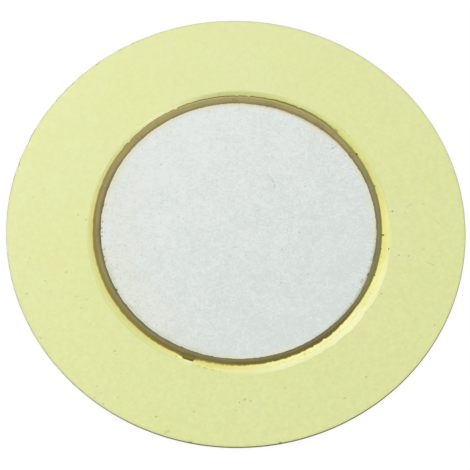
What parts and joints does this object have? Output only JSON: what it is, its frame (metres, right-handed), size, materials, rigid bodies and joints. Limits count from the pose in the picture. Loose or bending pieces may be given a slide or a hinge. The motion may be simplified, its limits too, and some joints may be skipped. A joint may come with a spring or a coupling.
{
  "type": "piezo buzzer",
  "caption": "Thin round brass plate with a ceramic disc bonded near its centre and silver fired onto the ceramic; an alternating voltage makes it flex and sound.",
  "frame": {"origin": "centre of the brass plate's underside", "axes": "+Z out of the face that carries the ceramic, +X and +Y in the plane of the plate"},
  "size_m": [0.041, 0.041, 0.0006],
  "materials": {
    "brass": "satin rolled sheet",
    "adhesive": "glossy, set clear to amber",
    "ceramic": "matte fired",
    "silver": "matte fired print"
  },
  "bodies": {
    "root": {"brass_plate": "brass", "adhesive_bond": "adhesive", "lower_electrode": "silver", "ceramic_disc": "ceramic", "upper_electrode": "silver"}
  },
  "joints": []
}
